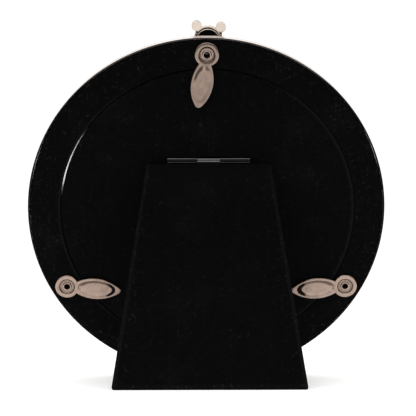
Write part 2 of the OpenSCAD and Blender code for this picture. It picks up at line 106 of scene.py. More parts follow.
def makeCamera():
    data = bpy.data.cameras.new("camera")
    data.lens = view["lens"]
    data.sensor_width = view["sensor"]
    data.clip_start = view["nearest"]
    camera = bpy.data.objects.new("camera", data)
    scene.collection.objects.link(camera)
    turn = Matrix.Rotation(-math.radians(view["azimuth"]), 4, "Z")
    tilt = Matrix.Rotation(math.radians(view["elevation"]), 4, "X")
    outward = turn @ tilt @ Vector((0, 1, 0))
    camera.location = Vector(view["aim"]) + outward * view["distance"]
    look = (-outward).to_track_quat("-Z", "Y").to_matrix().to_4x4()
    roll = Matrix.Rotation(math.radians(view["roll"]), 4, "Z")
    camera.rotation_euler = (look @ roll).to_euler()
    scene.camera = camera


makeCamera()
print("camera placed")


# Materials: a wire holds one output of a node, so that sums on it are written as in Python
class Wire:
    def __init__(self, nodes, socket):
        self.nodes = nodes
        self.socket = socket

    def sum(self, operation, first, second):
        return self.nodes.node("Math", {"operation": operation}, {0: first, 1: second})

    def __add__(self, other):
        return self.sum("ADD", self, other)

    __radd__ = __add__

    def __sub__(self, other):
        return self.sum("SUBTRACT", self, other)

    def __rsub__(self, other):
        return self.sum("SUBTRACT", other, self)

    def __mul__(self, other):
        return self.sum("MULTIPLY", self, other)

    __rmul__ = __mul__

    def __truediv__(self, other):
        return self.sum("DIVIDE", self, other)

    def __gt__(self, other):
        return self.sum("GREATER_THAN", self, other)


class Nodes:
    def __init__(self, tree):
        self.tree = tree

    def node(self, kind, settings=None, inputs=None, outlet=0):
        made = self.tree.nodes.new("ShaderNode" + kind)
        for key, value in (settings or {}).items():
            setattr(made, key, value)
        for key, value in (inputs or {}).items():
            if isinstance(value, Wire):
                self.tree.links.new(value.socket, made.inputs[key])
            else:
                made.inputs[key].default_value = value
        return Wire(self, made.outputs[outlet])

    def split(self, place):  # a place's three numbers
        return [self.node("SeparateXYZ", {}, {0: place}, i) for i in range(3)]

    def fade(self, wire, low, high, start=0, end=1):  # start below low, end above high
        return self.node("MapRange", {"interpolation_type": "SMOOTHSTEP"}, {
            "Value": wire, "From Min": low, "From Max": high, "To Min": start, "To Max": end,
        })


class Finish(Nodes):
    def __init__(self, name, constants):
        self.material = bpy.data.materials.new(name)
        self.material.use_nodes = True
        super().__init__(self.material.node_tree)
        self.shader = self.tree.nodes["Principled BSDF"]
        for socket, value in constants.items():
            self.shader.inputs[socket].default_value = value
        self.place = self.node("TexCoord", outlet="Object")

    def feed(self, socket, wire):
        self.tree.links.new(wire.socket, self.shader.inputs[socket])

    # Object coordinates in millimetres, along the axes of a matrix, stretched by the three shares
    def along(self, frameMatrix, stretch=(1, 1, 1)):
        turn = frameMatrix.to_3x3().normalized().transposed()
        still = self.node("Mapping", {"vector_type": "POINT"}, {
            "Vector": self.place,
            "Location": turn @ (-frameMatrix.translation) / metresPerMm,
            "Rotation": turn.to_euler(),
            "Scale": (1 / metresPerMm,) * 3,
        })
        return self.node("VectorMath", {"operation": "MULTIPLY"}, {0: still, 1: stretch})

    def near(self, place, point, full, none):  # 1 within full millimetres of a point, 0 past none
        distance = self.node("VectorMath", {"operation": "DISTANCE"}, {0: place, 1: point}, 1)
        return 1 - self.fade(distance, full, none)

    def band(self, wire, low, full, end, high):  # 1 between full and end, 0 outside low and high
        return self.fade(wire, low, full) * (1 - self.fade(wire, end, high))

    def size(self, wire):
        return self.node("Math", {"operation": "ABSOLUTE"}, {0: wire})

    def noise(self, place, scale, detail=2, roughness=0.5):
        return self.node("TexNoise", {}, {
            "Vector": place, "Scale": scale, "Detail": detail, "Roughness": roughness,
        })

    def mix(self, factor, first, second):
        return self.node("Mix", {"data_type": "RGBA"}, {0: factor, 6: first, 7: second}, 2)

    def bump(self, height, strength, depth):  # depth in millimetres
        return self.node("Bump", {}, {
            "Height": height, "Strength": strength, "Distance": depth * metresPerMm,
        })


def shade(red, green, blue):
    return (red, green, blue, 1)


# Short black pile: cloudy brushing, loose hairs lying every way, specks of lint and painted sheen
# along its edges
velvetLook = {
    "deep": shade(0.0026, 0.0026, 0.0026),
    "brushedAndSheen": shade(0.0066, 0.0066, 0.0067),
    "hair": shade(0.019, 0.019, 0.019),
    "lint": shade(0.045, 0.045, 0.044),
}
litter = {
    "longHairs": (0.3, 3.0, 0.24, 0.3),  # cells per mm, length, width, share of cells with a hair
    "shortHairs": (0.6, 1.4, 0.22, 0.3),
    "lintCells": 0.3,
    "lintSize": (0.04, 0.085),  # as shares of a cell
    "lintShare": 0.2,
}


# One loose hair in each cell of a pattern, turned by the cell's own chance and slightly bent
def looseHairs(finish, place, cellsPerMm, length, width, share):
    middle, chosen = (
        finish.node("TexVoronoi", {}, {"Vector": place, "Scale": cellsPerMm}, outlet)
        for outlet in ("Position", "Color")
    )
    chance = finish.node("SeparateColor", {}, {0: chosen})
    offset = finish.node("VectorMath", {"operation": "SUBTRACT"}, {0: place, 1: middle})
    turned = finish.node("VectorRotate", {"rotation_type": "Z_AXIS"}, {
        "Vector": offset, "Angle": chance * 40,
    })
    along, across, depth = finish.split(turned)
    bend = (finish.noise(place, 0.5, 1) - 0.5) * 2.4 + along * along * 0.12
    inLength = 1 - finish.fade(finish.size(along), length * 0.35, length * 0.5)
    inWidth = 1 - finish.fade(finish.size(across + bend), width * 0.25, width * 0.7)
    return inLength * inWidth * (chance > 1 - share)


def velvet(name, frameMatrix, seed, edges, tone=1.0):
    finish = Finish(name, {
        "Roughness": 0.95, "Specular IOR Level": 0.04,
        "Sheen Weight": 0.012, "Sheen Roughness": 0.35,
    })
    look = {key: shade(*(tone * part for part in value[:3])) for key, value in velvetLook.items()}
    place = finish.along(frameMatrix)
    # paintedHighlight is painted sheen: lighter pile where the edges would catch the light
    paintedHighlight, dusty = edges(finish, place)
    shifted = finish.node("VectorMath", {"operation": "ADD"}, {0: place, 1: (seed, seed, seed)})
    clouds = finish.fade(finish.noise(shifted, 0.045, 4, 0.6), 0.5, 0.72)
    strokes = finish.along(frameMatrix, (0.9, 0.2, 0.9))
    brushing = finish.fade(finish.noise(strokes, 0.5, 3, 0.65), 0.5, 0.8)
    pile = finish.noise(shifted, 3.2, 2, 0.7)
    uneven = 0.2 + finish.noise(shifted, 1.2, 3, 0.7) * 1.2
    # brushedAndSheen holds the random brushing and grain of the pile and the painted sheen bands
    brushedAndSheen = clouds * 0.35 + brushing * 0.25 + paintedHighlight * uneven + (pile - 0.5) * 0.3
    base = finish.mix(brushedAndSheen, look["deep"], look["brushedAndSheen"])
    dust = clouds * 0.4 + dusty + 0.3
    hairs = looseHairs(finish, shifted, *litter["longHairs"])
    shortHairs = looseHairs(finish, shifted, *litter["shortHairs"])
    withHairs = finish.mix((hairs + shortHairs) * dust * uneven, base, look["hair"])
    cells, chosen = (
        finish.node("TexVoronoi", {}, {"Vector": shifted, "Scale": litter["lintCells"]}, outlet)
        for outlet in ("Distance", "Color")
    )
    wanted = finish.node("SeparateColor", {}, {0: chosen}) > 1 - litter["lintShare"]
    specks = (1 - finish.fade(cells, *litter["lintSize"])) * wanted * dust
    finish.feed("Base Color", finish.mix(specks, withHairs, look["lint"]))
    finish.feed("Normal", finish.bump(pile, 0.35, 0.12))
    return finish.material


# Where the pile is painted lighter and where dust gathers, all in millimetres: beside the door a
# painted sheen, partly lint on the pile's edge, and dust out towards the moulding; along the
# sides and foot of the leg a painted sheen where the rounded edges catch the light, lighter pile
# towards its top, and dust. A band's four numbers are where it starts, where it is full from and
# to, and where it ends.
sheenAndDust = {
    "doorRing": (57.4, 58.0, 58.7, 59.4),
    "doorSides": (24, 42),
    "outwards": (52, 70),
    "legEdge": (24.3, -1.7, 0.1395),  # half the width at a height, and its growth with each mm down
    "legSides": (0.1, 0.5, 0.8, 1.7),
    "legFoot": (-92.2, -91.6, -91.2, -90.4),
    "legTop": (-26, -6),
    "legDust": (0, 9),
}


def aroundDoor(finish, place):
    radius = finish.node("VectorMath", {"operation": "LENGTH"}, {0: place}, 1)
    across, along, depth = finish.split(place)
    # Painted sheen on the left and right of the door's edge, where its gap would catch the light,
    # partly lint on the pile's edge; dust grows outwards
    ring = finish.band(radius, *sheenAndDust["doorRing"])
    beside = ring * finish.fade(finish.size(across), *sheenAndDust["doorSides"])
    return beside * 1.5, finish.fade(radius, *sheenAndDust["outwards"]) * 0.4


def alongLeg(finish, place):
    across, along, depth = finish.split(place)
    halfWidth, height, growth = sheenAndDust["legEdge"]
    inside = halfWidth - (along - height) * growth - finish.size(across)
    # Painted sheen along the sides and above the foot, where the rounded edges would catch the
    # light; lighter pile towards the top; dust near the edges and at the foot
    sides = finish.band(inside, *sheenAndDust["legSides"])
    foot = finish.band(along, *sheenAndDust["legFoot"])
    lighterTowardsTop = finish.fade(along, *sheenAndDust["legTop"]) * 0.3
    dust = (1 - finish.fade(inside, *sheenAndDust["legDust"])) * 0.5 + foot
    return sides * 1.3 + foot * 0.6 + lighterTowardsTop, dust


# Warm satin nickel of the turn buttons and eyelets
nickelLook = {
    "clean": shade(0.44, 0.325, 0.27),
    "dullAndShaded": shade(0.27, 0.2, 0.163),
    "brown": shade(0.13, 0.095, 0.075),
    "black": shade(0.006, 0.005, 0.004),
}


def nickel(name, frameMatrix, paintedShade=None, paintedDarkening=0.0):
    finish = Finish(name, {"Metallic": 1.0, "Specular IOR Level": 0.5})
    place = finish.along(frameMatrix)
    patches = finish.fade(finish.noise(place, 0.35, 4, 0.6), 0.4, 0.75)
    grain = finish.noise(place, 7.0, 3, 0.6)
    strokes = finish.noise(finish.along(frameMatrix, (0.25, 1.6, 1.6)), 1.6, 3, 0.6)
    # paintedDarkening is painted shade that makes one button's nickel darker than the others'; the
    # patches and strokes are its real dulling
    ageAndShade = paintedDarkening + patches * 0.35 + strokes * 0.3
    base = finish.mix(ageAndShade, nickelLook["clean"], nickelLook["dullAndShaded"])
    # The dish's brown and black are painted shade, standing for dark surroundings that the dish
    # reflects
    if paintedShade:
        brown, black = paintedShade(finish, place)
        uneven = 0.7 + 0.6 * strokes
        base = finish.mix(brown * uneven, base, nickelLook["brown"])
        base = finish.mix(black, base, nickelLook["black"])
    finish.feed("Base Color", base)
    finish.feed("Roughness", 0.17 + patches * 0.1 + grain * 0.06)
    finish.feed("Normal", finish.bump(grain, 0.25, 0.02))
    return finish.material


# Turn buttons: a stamped leaf with a round head, and the eyelet it turns on
button = {
    "headRadius": 4.8,
    "front": -1.2,  # height of the show face over the velvet
    "back": -0.1,
    "dimple": 3.05,
    "dimpleFloor": -0.4,
    "dimpleRing": (2.5, 2.84, -0.9),  # inner and outer radius and height of the ring in the dimple
    "hole": 1.55,
    "leafStart": 0.4,
    "leafEnd": 22.45,
    "halfWidth": 4.42,
    "tipRadius": 1.5,
    "neckCut": 3.4,
    "dish": (11.8, 7.85, 3.6),  # middle along the leaf, half length and half width
    "dishTaper": 0.92,  # how much less its rings draw in sideways than lengthwise
    "dishNeck": 0.26,  # depths of the dish at its two ends
    "dishTip": {"top": 0.12, "left": 0.36, "right": 0.36},
    "arcSteps": 24,
    # The rings of the leaf's edge, each drawn in by the first number and under the face by the
    # second, then those of the dish, drawn in and at a share of its depth
    "edgeRings": ((0.0, 0.4), (0.04, 0.2), (0.11, 0.06), (0.2, 0), (0.15, 0)),
    "dishRings": (
        (0.0, 0.02), (0.15, 0.06), (0.4, 0.2), (0.8, 0.5), (1.2, 0.77), (1.6, 0.93),
        (2.0, 1.0), (2.6, 1.03), (3.2, 1.04),
    ),
}
restAngles = {"top": -80.9, "left": 185, "right": -5}


def buttonPlace(side):  # a button is drawn with its leaf along x, around the eyelet
    turn = Matrix.Rotation(math.radians(restAngles[side]), 4, "Z")
    return flat @ Matrix.Translation(pivotOf("turn_" + side)) @ turn


# Painted shade in the dish of a turn button, standing for the shaded floor and dark sides that the
# dish reflects. A place's share of the dish is 0 in its middle and 1 at its edge; the brown lies on
# the wall that faces the floor and the black at the dish's end.
def dishShare(finish, place):
    middle, half, halfWidth = button["dish"]
    along, across, depth = finish.split(place)
    long, wide = (along - middle) / half, across / halfWidth
    return along, across, long * long + wide * wide


def lowerButtonShade(upperSide, inner):
    def paintedShade(finish, place):
        along, across, share = dishShare(finish, place)
        wall = finish.band(share, 0.4, 0.62, 0.88, 1.04) * finish.fade(across * upperSide, 0.2, 1.5)
        lower = finish.band(share, 0.55, 0.75, 0.9, 1.02) * finish.fade(across * -upperSide, 0.8, 2)
        end = finish.band(share, inner, inner + 0.12, 0.92, 1.02) * finish.fade(along, 15.4, 16.8)
        return wall + lower * (0.3 + 0.3 * finish.fade(along, 10, 16)), end
    return paintedShade


def topButtonShade(finish, place):
    along, across, share = dishShare(finish, place)
    wall = finish.band(share, 0.42, 0.6, 0.8, 0.98)
    long = wall * finish.fade(across, 0.5, 1.1) * (1 - finish.fade(along, 9, 12))
    short = wall * finish.fade(across * -1, 0.2, 0.6) * (1 - finish.fade(along, 5.6, 6.8))
    rim = finish.band(share, 0.8, 0.92, 1.0, 1.15) * 0.25
    return long * 1.3 + short + rim, long * 0.6 + short * 0.3


# Polished silver plate of the moulding, the beads and the finial
silverLook = {
    "bright": shade(0.78, 0.70, 0.645),
    "toned": shade(0.66, 0.565, 0.495),
    "finial": shade(0.64, 0.55, 0.475),
    "mattWithin": (4.5, 7),  # of the place that the soldering left dull
}


def silver(name, frameMatrix, roughness, brightest="bright", dullPlace=None):
    finish = Finish(name, {"Metallic": 1.0})
    place = finish.along(frameMatrix)
    tone = finish.fade(finish.noise(place, 0.09, 3, 0.55), 0.4, 0.8)
    strokes = finish.noise(finish.along(frameMatrix, (0.2, 3, 3)), 2.5, 4, 0.7)
    scratches = finish.fade(strokes, 0.55, 0.75)
    finish.feed("Base Color", finish.mix(tone * 0.5, silverLook[brightest], silverLook["toned"]))
    rough = roughness + tone * 0.04 + scratches * 0.03
    if dullPlace:
        rough = rough + finish.near(place, dullPlace, *silverLook["mattWithin"]) * 0.45
    finish.feed("Roughness", rough)
    finish.feed("Normal", finish.bump(finish.noise(place, 0.3, 2), 0.06, 0.05))
    return finish.material


# Brown-black metal: tarnish and painted shade in hollows and deep in gaps, paler above one height,
# and a painted glint at one place
tarnishAndShadeLook = {
    "brown": (shade(0.004, 0.0035, 0.0032), shade(0.022, 0.018, 0.016)),
    "pale": (shade(0.028, 0.025, 0.024), shade(0.16, 0.13, 0.12)),
    "paleOver": 12,
    "bare": shade(0.9, 0.89, 0.87),
    "bareWithin": (8, 16),
}


def tarnish(name, frameMatrix, palerFrom=None, glintPoint=None):
    finish = Finish(name, {"Specular IOR Level": 0.05})
    place = finish.along(frameMatrix)
    spots = finish.noise(place, 2.4, 4, 0.65)
    base = finish.mix(spots, *tarnishAndShadeLook["brown"])
    if palerFrom is not None:
        across, along, depth = finish.split(place)
        pale = finish.mix(spots, *tarnishAndShadeLook["pale"])
        height = finish.fade(along, palerFrom, palerFrom + tarnishAndShadeLook["paleOver"])
        base = finish.mix(height, base, pale)
    metal, rough = 0.2 + spots * 0.3, 0.55 + spots * 0.2
    # A painted glint: bright bare metal at one place, with painted shade around it
    if glintPoint:
        paintedHighlight = finish.near(place, glintPoint, *tarnishAndShadeLook["bareWithin"])
        base = finish.mix(paintedHighlight, base, tarnishAndShadeLook["bare"])
        metal = metal * (1 - paintedHighlight) + paintedHighlight
        rough = rough * (1 - paintedHighlight) + paintedHighlight * 0.22
    finish.feed("Base Color", base)
    finish.feed("Metallic", metal)
    finish.feed("Roughness", rough)
    return finish.material


# Hinge steel, dark along the middle of the knuckles, with painted highlights above and below where
# a polished knuckle reflects the light. What is past blackFrom, in millimetres above or below the
# pin, is painted black shade.
steelLook = {
    "dark": shade(0.022, 0.021, 0.02),
    "knuckleHighlight": shade(0.135, 0.13, 0.126),
    "highlightOver": 0.3,
    "black": shade(0.003, 0.003, 0.003),
    "blackOver": 0.15,
}


def darkSteel(name, frameMatrix, highlightFrom, blackFrom=None):
    finish = Finish(name, {"Metallic": 1.0})
    streaks = finish.noise(finish.along(frameMatrix, (0.15, 2.5, 2.5)), 3.0, 4, 0.65)
    atHinge = Matrix.Translation(flat @ legHinge)
    fromPin = finish.size(finish.split(finish.along(atHinge))[2])
    knuckleHighlight = finish.fade(fromPin, highlightFrom, highlightFrom + steelLook["highlightOver"])
    knuckleHighlight = knuckleHighlight * (0.7 + 0.6 * finish.fade(streaks, 0.4, 0.72))
    base = finish.mix(knuckleHighlight, steelLook["dark"], steelLook["knuckleHighlight"])
    if blackFrom is not None:
        black = finish.fade(fromPin, blackFrom, blackFrom + steelLook["blackOver"])
        base = finish.mix(black, base, steelLook["black"])
    finish.feed("Base Color", base)
    finish.feed("Roughness", 0.06 + streaks * 0.08)
    finish.feed("Normal", finish.bump(streaks, 0.2, 0.02))
    return finish.material


# Boards and papers, each from its dark fibres to its light ones
sheetLook = {
    "blackBoard": (shade(0.003, 0.003, 0.003), shade(0.012, 0.011, 0.01)),
    "blackPaper": (shade(0.012, 0.012, 0.012), shade(0.03, 0.03, 0.03)),
    "card": (shade(0.62, 0.59, 0.53), shade(0.78, 0.76, 0.71)),
    "picturePaper": (shade(0.80, 0.79, 0.76), shade(0.90, 0.895, 0.87)),
}


def fibreboard(name, frameMatrix, dark, light):
    finish = Finish(name, {"Roughness": 0.85, "Specular IOR Level": 0.3})
    fibres = finish.noise(finish.along(frameMatrix, (1, 0.3, 2)), 2.2, 5, 0.7)
    finish.feed("Base Color", finish.mix(fibres, dark, light))
    finish.feed("Normal", finish.bump(fibres, 0.4, 0.08))
    return finish.material


def paper(name, frameMatrix, dark, light, tooth):
    finish = Finish(name, {"Specular IOR Level": 0.25})
    place = finish.along(frameMatrix)
    fibres = finish.noise(place, 4.0, 4, 0.7)
    cloud = finish.noise(place, 0.12, 2, 0.5)
    finish.feed("Base Color", finish.mix(0.7 * fibres + 0.3 * cloud, dark, light))
    finish.feed("Roughness", 0.72 + fibres * 0.2)
    finish.feed("Normal", finish.bump(fibres, tooth, 0.05))
    return finish.material


def glass(name, frameMatrix):  # clear, with a mirror's shine as strong as the angle asks
    finish = Finish(name, {"Base Color": shade(0.97, 0.99, 0.98), "Metallic": 1.0})
    smears = finish.fade(finish.noise(finish.along(frameMatrix), 0.06, 4, 0.6), 0.55, 0.85)
    facing = finish.node("LayerWeight", {}, {"Blend": 0.5}, "Facing")
    squared = facing * facing
    shine = 0.04 + 0.96 * squared * squared * facing
    finish.feed("Alpha", shine + smears * 0.012)
    finish.feed("Roughness", 0.015 + smears * 0.03)
    return finish.material


def crystal(name, frameMatrix):  # cut stones with foil behind them
    finish = Finish(name, {"IOR": 1.6, "Coat Weight": 1.0, "Coat Roughness": 0.01})
    foil = finish.noise(finish.along(frameMatrix), 1.4, 2, 0.5)
    finish.feed("Base Color", finish.mix(foil, shade(0.52, 0.57, 0.64), shade(0.95, 0.97, 1.0)))
    finish.feed("Metallic", 0.75 + foil * 0.25)
    finish.feed("Roughness", 0.02 + foil * 0.05)
    return finish.material


finishes = {
    "silver": silver("polishedSilver", flat, 0.15, dullPlace=(-0.45, 71, 2.5)),
    "finialSilver": silver("finialSilver", flat, 0.13, "finial"),
    "nickel": nickel("satinNickel", flat),
    # The top button's nickel is painted darker than the lower two, as painted shade
    "topNickel": nickel("topNickel", buttonPlace("top"), topButtonShade, 0.75),
    "leftNickel": nickel("leftNickel", buttonPlace("left"), lowerButtonShade(-1, 0.56)),
    "rightNickel": nickel("rightNickel", buttonPlace("right"), lowerButtonShade(1, 0.46)),
    "tarnish": tarnish("tarnishedMetal", flat),
    "edgeTarnish": tarnish("edgeTarnish", flat, 50),
    "rubbedTarnish": tarnish("rubbedTarnish", flat, None, (54.1, 20.8, 2.5)),
    "darkSteel": darkSteel("hingeSteel", flat, 0.4),
    "steelWithPaintedShade": darkSteel("steelWithPaintedShade", openLeg, 0.1, 0.6),
    "backVelvet": velvet("backVelvet", flat, 0.0, aroundDoor),
    "doorVelvet": velvet("doorVelvet", flat, 37.0, aroundDoor),
    # The leg's velvet is painted darker than the same velvet on the back, as painted shade
    # offsetting the overhead light on its upward face
    "legVelvet": velvet("legVelvet", openLeg, 71.0, alongLeg, 0.74),
    "blackBoard": fibreboard("blackBoard", flat, *sheetLook["blackBoard"]),
    "blackPaper": paper("blackPaper", flat, *sheetLook["blackPaper"], 0.3),
    "card": paper("card", flat, *sheetLook["card"], 0.2),
    "picturePaper": paper("picturePaper", flat, *sheetLook["picturePaper"], 0.12),
    "glass": glass("clearGlass", flat),
    "crystal": crystal("cutCrystal", flat),
}
print("finishes made:", len(finishes))

# CAD nodes that are shown as they are, and their finish
keptNodes = {
    "backing_card": "card",
    "ring_board": "blackBoard",
    "door_board": "blackBoard",
    "door_lining": "blackPaper",
    "friction_washers": "nickel",
    "ring_washers": "nickel",
    "door_rivets": "nickel",
    "leg_rivets": "nickel",
    "hinge_fixed_leaf": "darkSteel",
    "hinge_moving_leaf": "steelWithPaintedShade",
    "hinge_pin": "darkSteel",
}
for nodeName, finishName in keptNodes.items():
    nodeMesh = frame["nodes"][nodeName].data
    nodeMesh.materials.clear()
    nodeMesh.materials.append(finishes[finishName])


# Making pieces
def markFaces(bm, number, isMarked):  # gives faces another of the piece's finishes, by their middle
    for face in bm.faces:
        if isMarked(face.calc_center_median()):
            face.material_index = number


def newPiece(name, bm, place, body, finishNames, replaced=(), sharpAngle=35):
    bmesh.ops.transform(bm, matrix=place, verts=bm.verts)
    mesh = bpy.data.meshes.new(name)
    bm.to_mesh(mesh)
    bm.free()
    mesh.shade_smooth()
    mesh.set_sharp_from_angle(angle=math.radians(sharpAngle))
    for finishName in finishNames.split():
        mesh.materials.append(finishes[finishName])
    piece = bpy.data.objects.new(name, mesh)
    scene.collection.objects.link(piece)
    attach(piece, body)
    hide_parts(*replaced)
    return piece


def roundEdges(piece, width):
    rounding = piece.modifiers.new("edges", "BEVEL")
    rounding.width = width * metresPerMm
    rounding.segments = 2
    rounding.limit_method = "ANGLE"
    rounding.angle_limit = math.radians(40)


def bevelBy(bm, geom, width, segments, affect="EDGES"):
    bmesh.ops.bevel(
        bm, geom=geom, offset=width, offset_type="OFFSET", segments=segments,
        profile=0.5, affect=affect, material=-1,
    )


def closeHoles(bm):
    bmesh.ops.holes_fill(bm, edges=[edge for edge in bm.edges if edge.is_boundary])


def cutAway(bm, point, outward):  # takes off what lies past a plane and closes the cut
    bmesh.ops.bisect_plane(
        bm, geom=bm.verts[:] + bm.edges[:] + bm.faces[:],
        plane_co=point, plane_no=outward, clear_outer=True,
    )
    closeHoles(bm)


def extrudeFaces(bm, depth):
    grown = bmesh.ops.extrude_face_region(bm, geom=bm.faces[:])
    moved = [part for part in grown["geom"] if isinstance(part, bmesh.types.BMVert)]
    bmesh.ops.translate(bm, verts=moved, vec=(0, 0, depth))
    return moved


# A section in the plane of radius and height: a pair is a straight run to that place, and
# three numbers are the middle of an arc and the degrees it turns, clockwise from the front
def drawSection(start, moves):
    bm = bmesh.new()
    tip = bm.verts.new((start[0], 0, start[1]))
    for move in moves:
        if len(move) == 2:
            tip = bmesh.ops.extrude_vert_indiv(bm, verts=[tip])["verts"][0]
            tip.co = (move[0], 0, move[1])
        else:
            arc = bmesh.ops.spin(
                bm, geom=[tip], cent=(move[0], 0, move[1]), axis=(0, 1, 0),
                angle=math.radians(move[2]), steps=10,
            )
            tip = arc["geom_last"][0]
    return bm


def addTo(bm, other):
    mesh = bpy.data.meshes.new("part")
    other.to_mesh(mesh)
    other.free()
    bm.from_mesh(mesh)
    bpy.data.meshes.remove(mesh)


def turnSection(bm, steps):  # spins a closed section into a ring around the z axis
    bmesh.ops.remove_doubles(bm, verts=bm.verts, dist=1e-4)
    bmesh.ops.spin(
        bm, geom=bm.verts[:] + bm.edges[:], cent=(0, 0, 0), axis=(0, 0, 1),
        angle=math.tau, steps=steps, use_merge=True,
    )
    bmesh.ops.remove_doubles(bm, verts=bm.verts, dist=1e-4)
    bmesh.ops.recalc_face_normals(bm, faces=bm.faces)
    return bm


# Moulding
rimHigh, glassHigh = (flatBox(node)[1] for node in ("rim", "glass"))
beadLow, beadHigh = flatBox("bead_border")
moulding = {
    "outer": rimHigh.x - 0.002,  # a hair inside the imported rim
    "crest": rimHigh.z - 0.02,
    "width": 17.2,
    "crownRadius": 6.2,
    "crownRise": 2.5,
    "shell": 1.1,
    "edge": 0.6,
    "edgeRound": 0.25,
    "lipWidth": 3.2,
    "shoulderFlat": 1.36,
    "shoulder": glassHigh.z - 2.8,
    "beadClear": 0.35,
    "tarnishedTo": 0.35,  # how far the brown of its back edge reaches
    "rounding": 0.12,
    "steps": 256,
}


def makeMoulding():
    m = moulding
    sight = m["outer"] - m["width"]
    crestRadius = m["outer"] - m["crownRadius"]
    side = m["crest"] - m["crownRadius"]
    lip = m["crest"] - m["crownRise"]
    rebate = sight + m["lipWidth"]
    seat = beadHigh.x + m["beadClear"]
    run = crestRadius - seat
    slopeRadius = (run ** 2 + m["crownRise"] ** 2) / (2 * m["crownRise"])
    slopeTurn = math.degrees(math.asin(run / slopeRadius))
    inner = m["crest"] - m["shell"]
    wall = m["outer"] - m["shell"]
    recess = m["outer"] - m["edge"]
    front = [
        (m["outer"], side),
        (crestRadius, side, -90),
        (crestRadius, m["crest"] - slopeRadius, -slopeTurn),
        (sight, lip),
        (sight, glassHigh.z),
        (rebate, glassHigh.z),
        (rebate, m["shoulder"]),
        (rebate + m["shoulderFlat"], m["shoulder"]),
        (rebate + m["shoulderFlat"], lip - m["shell"]),
        (crestRadius, inner),
    ]
    back = [
        (crestRadius, side, 90),
        (wall, m["shoulder"]),
        (recess, m["shoulder"]),
        (recess, 0),
        (m["outer"] - m["edgeRound"], 0),
        (m["outer"] - m["edgeRound"], m["edgeRound"], -90),
    ]
    bm = drawSection((m["outer"], m["edgeRound"]), front + back)
    turnSection(bm, m["steps"])
    # The back edge is painted brown-black, paler towards the top
    markFaces(bm, 1, lambda middle: (
        middle.z < m["tarnishedTo"] and middle.xy.length > recess - 0.1
    ))
    # The shoulder seen through the door's gap: painted shade, with a painted glint at one place
    markFaces(bm, 2, lambda middle: (
        abs(middle.z - m["shoulder"]) < 0.01 and middle.xy.length < rebate + m["shoulderFlat"]
    ))
    finishNames = "silver edgeTarnish rubbedTarnish"
    piece = newPiece("moulding", bm, flat, "frame", finishNames, ["rim"])
    roundEdges(piece, m["rounding"])


makeMoulding()

# Beaded border around the glass
beads = {
    "diameter": 2.6,
    "gap": 0.2,
    "wireWidth": 1.7,
    "wireHeight": 0.5,
}


def makeBeads():
    circle = beadHigh.x - beads["diameter"] / 2
    low = beadLow.z
    wire = beads["wireWidth"] / 2
    bm = drawSection((circle - wire, low), [
        (circle - wire, low + beads["wireHeight"] / 2),
        (circle, low + beads["wireHeight"]),
        (circle + wire, low + beads["wireHeight"] / 2),
        (circle + wire, low),
        (circle - wire, low),
    ])
    turnSection(bm, 180)
    pitch = 2 * math.asin((beads["diameter"] + beads["gap"]) / 2 / circle)
    count = int(math.tau / pitch)
    for number in range(count):
        place = Matrix.Rotation(number * math.tau / count, 4, "Z")
        place = place @ Matrix.Translation((circle, 0, low + beads["diameter"] / 2))
        bmesh.ops.create_uvsphere(
            bm, u_segments=14, v_segments=9, radius=beads["diameter"] / 2, matrix=place,
        )
    newPiece("beadedBorder", bm, flat, "frame", "silver", ["bead_border"], 60)
    print("beads:", count)


makeBeads()

# Glass and the blank card behind it, drawn a hair thinner so that their faces never meet
def makeDisc(name, node, finish, rounding, clear):
    low, high = flatBox(node)
    back, front = low.z + clear, high.z - clear
    radius = (high.x - low.x) / 2
    bm = drawSection((0.01, back), [
        (radius - rounding, back), (radius, back + rounding), (radius, front - rounding),
        (radius - rounding, front), (0.01, front), (0.01, back),
    ])
    turnSection(bm, 128)
    place = Matrix.Translation(((low.x + high.x) / 2, (low.y + high.y) / 2, 0))
    newPiece(name, bm, flat @ place, "frame", finish, [node])


makeDisc("glassPane", "glass", "glass", rounding=0.2, clear=0.03)
makeDisc("pictureCard", "photo_card", "picturePaper", rounding=0.03, clear=0.02)
print("front made")

# Velvet over the ring and over the door
ringHigh = flatBox("ring_velvet")[1]
doorLow, doorHigh = flatBox("door_velvet")
cover = {
    "thickness": 0.5,
    "wrap": 0.4,
    "wrapOverlap": 0.05,
    "doorGap": 0.5,
    "doorGrow": 0.15,
    "openingShift": -0.5,
    "edgeRound": 0.3,
    "eyeletHole": 3.1,
    "steps": 200,
    "hingeSlot": (33.1, 2.7),
}


def addCircle(bm, radius, steps, x=0, y=0):
    place = Matrix.Translation((x, y, 0))
    bmesh.ops.create_circle(bm, radius=radius, segments=steps, matrix=place)


# Fills the loops drawn so far, gives them depth and rounds the edges named by the test
def thicken(bm, depth, rounding, isRounded):
    bmesh.ops.triangle_fill(bm, use_beauty=True, edges=bm.edges[:])
    extrudeFaces(bm, depth)
    bmesh.ops.recalc_face_normals(bm, faces=bm.faces)
    edges = [
        edge for edge in bm.edges
        if all(abs(vertex.co.z) < 1e-4 for vertex in edge.verts)
        and edge.calc_face_angle(0) > 1 and isRounded(edge.verts[0].co)
    ]
    bevelBy(bm, edges, rounding, 4)


